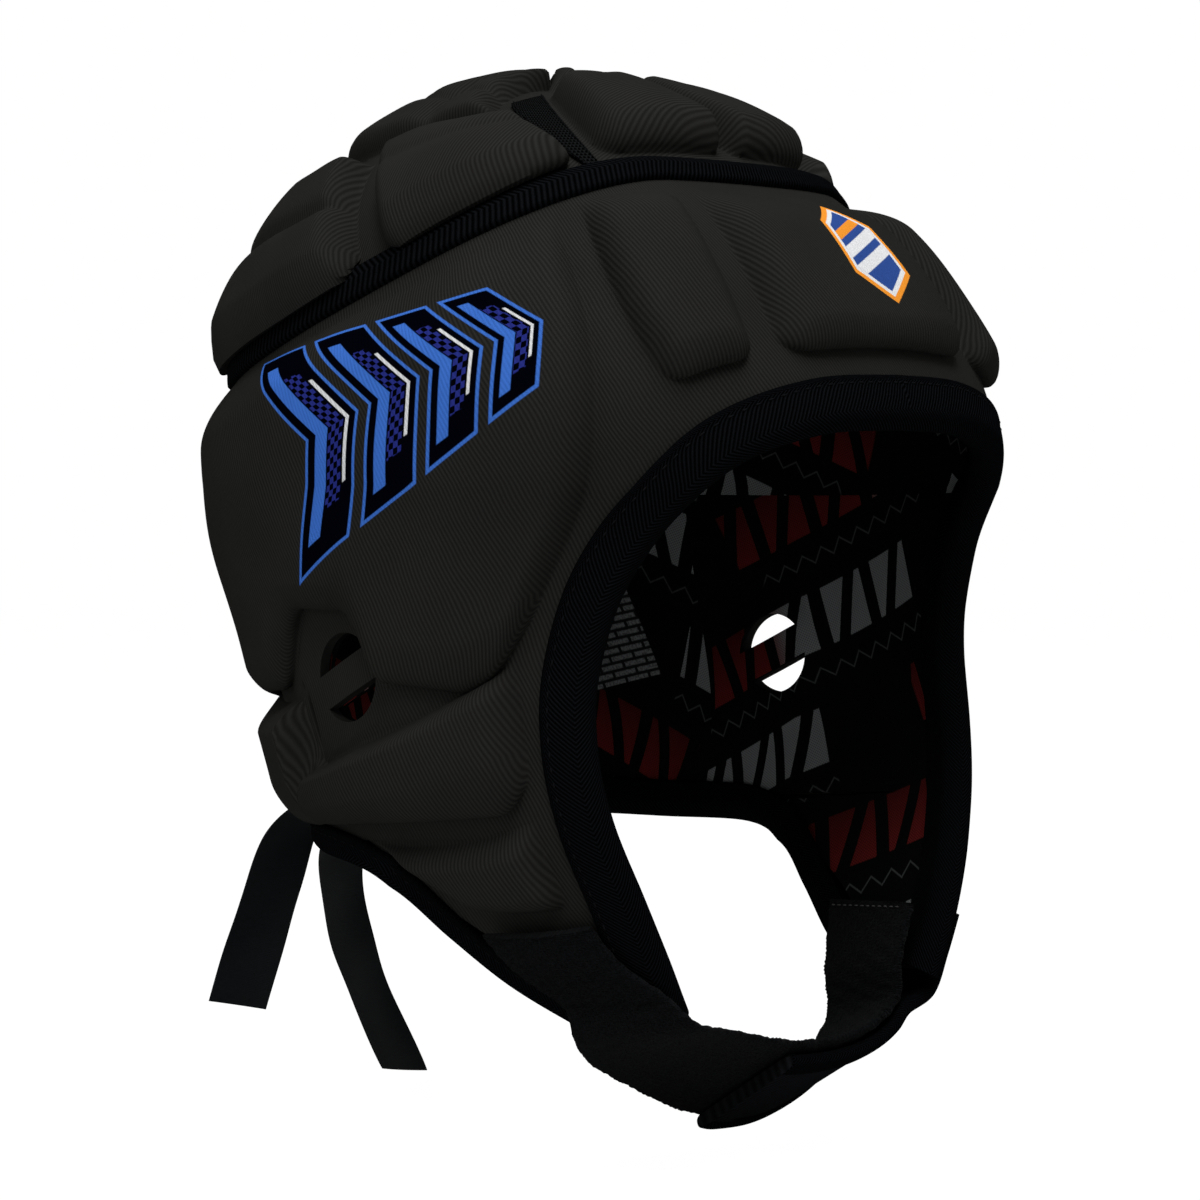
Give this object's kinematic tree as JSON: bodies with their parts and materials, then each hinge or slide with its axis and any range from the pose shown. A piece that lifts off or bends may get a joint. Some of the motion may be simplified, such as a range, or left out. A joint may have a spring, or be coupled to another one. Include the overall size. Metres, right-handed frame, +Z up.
{
  "type": "soft shell headgear",
  "caption": "Padded soft shell cap for contact sport, with ear holes, an open face, cheek flaps, a hook and loop chin strap and rear ties",
  "frame": {"origin": "the middle of the head inside the cap, on the mid plane, 17 mm above the ear holes and about 8 mm ahead of them", "axes": "+Z up as worn, -Y where the face looks, -X the wearer's right"},
  "size_m": [0.187, 0.212, 0.276],
  "materials": {
    "shell_fabric": "matte ribbed stretch fabric over moulded foam",
    "pad_fabric": "matte ribbed stretch fabric over a foam pad",
    "binding_tape": "herringbone woven tape",
    "liner_knit": "fine printed knit",
    "vent_net": "open knitted mesh",
    "loop_fleece": "brushed loop pile",
    "strap_webbing": "woven strap with bound edges",
    "hook_nylon": "moulded nylon hooks",
    "tie_ribbon": "smooth flat ribbon"
  },
  "bodies": {
    "cap": {"front_shell": "shell_fabric", "side_shell_right": "shell_fabric", "side_shell_left": "shell_fabric", "cheek_shell_right": "shell_fabric", "cheek_shell_left": "shell_fabric", "ear_shell_right": "shell_fabric", "ear_shell_left": "shell_fabric", "rear_shell_right": "shell_fabric", "rear_shell_left": "shell_fabric", "crown_shell_front": "shell_fabric", "crown_shell_right": "shell_fabric", "crown_shell_left": "shell_fabric", "crown_shell_rear": "shell_fabric", "front_liner": "liner_knit", "side_liner_right": "liner_knit", "side_liner_left": "liner_knit", "rear_liner": "liner_knit", "crown_liner": "liner_knit", "forehead_pad_centre": "pad_fabric", "forehead_pad_right": "pad_fabric", "forehead_pad_left": "pad_fabric", "side_pad_right": "pad_fabric", "side_pad_left": "pad_fabric", "ear_pad_right": "pad_fabric", "ear_pad_left": "pad_fabric", "cheek_pad_right": "pad_fabric", "cheek_pad_left": "pad_fabric", "rear_pad_right": "pad_fabric", "rear_pad_left": "pad_fabric", "nape_pad_right": "pad_fabric", "nape_pad_left": "pad_fabric", "crown_pad_front_right": "pad_fabric", "crown_pad_front_left": "pad_fabric", "crown_pad_brow_right": "pad_fabric", "crown_pad_brow_left": "pad_fabric", "crown_pad_side_right": "pad_fabric", "crown_pad_side_left": "pad_fabric", "crown_pad_temple_right": "pad_fabric", "crown_pad_temple_left": "pad_fabric", "crown_pad_back_right": "pad_fabric", "crown_pad_back_left": "pad_fabric", "crown_pad_top_right": "pad_fabric", "crown_pad_top_left": "pad_fabric", "crown_pad_rear_right": "pad_fabric", "crown_pad_rear_left": "pad_fabric", "crown_binding": "binding_tape", "face_binding": "binding_tape", "neck_binding": "binding_tape", "vent_mesh_right": "vent_net", "vent_mesh_left": "vent_net", "chin_loop_strap": "loop_fleece", "rear_lace": "strap_webbing", "lace_loops_right": "strap_webbing", "lace_loops_left": "strap_webbing"},
    "hook_strap": {"chin_hook_strap": "strap_webbing", "hook_tape": "hook_nylon"},
    "right_tie": {"rear_tie_right": "tie_ribbon"},
    "left_tie": {"rear_tie_left": "tie_ribbon"}
  },
  "joints": [
    {"name": "hook_strap_peel", "type": "hinge", "parent": "cap", "child": "hook_strap", "pos_m": [0.06725, -0.0506, -0.083], "axis": [-0.2175, -0.9744, 0.0565], "range_deg": [0, 110]},
    {"name": "right_tie_swing", "type": "hinge", "parent": "cap", "child": "right_tie", "pos_m": [-0.009, 0.0728, -0.04], "axis": [1, 0, 0], "range_deg": [-8, 35]},
    {"name": "left_tie_swing", "type": "hinge", "parent": "cap", "child": "left_tie", "pos_m": [0.009, 0.0728, -0.04], "axis": [1, 0, 0], "range_deg": [-8, 35]}
  ]
}
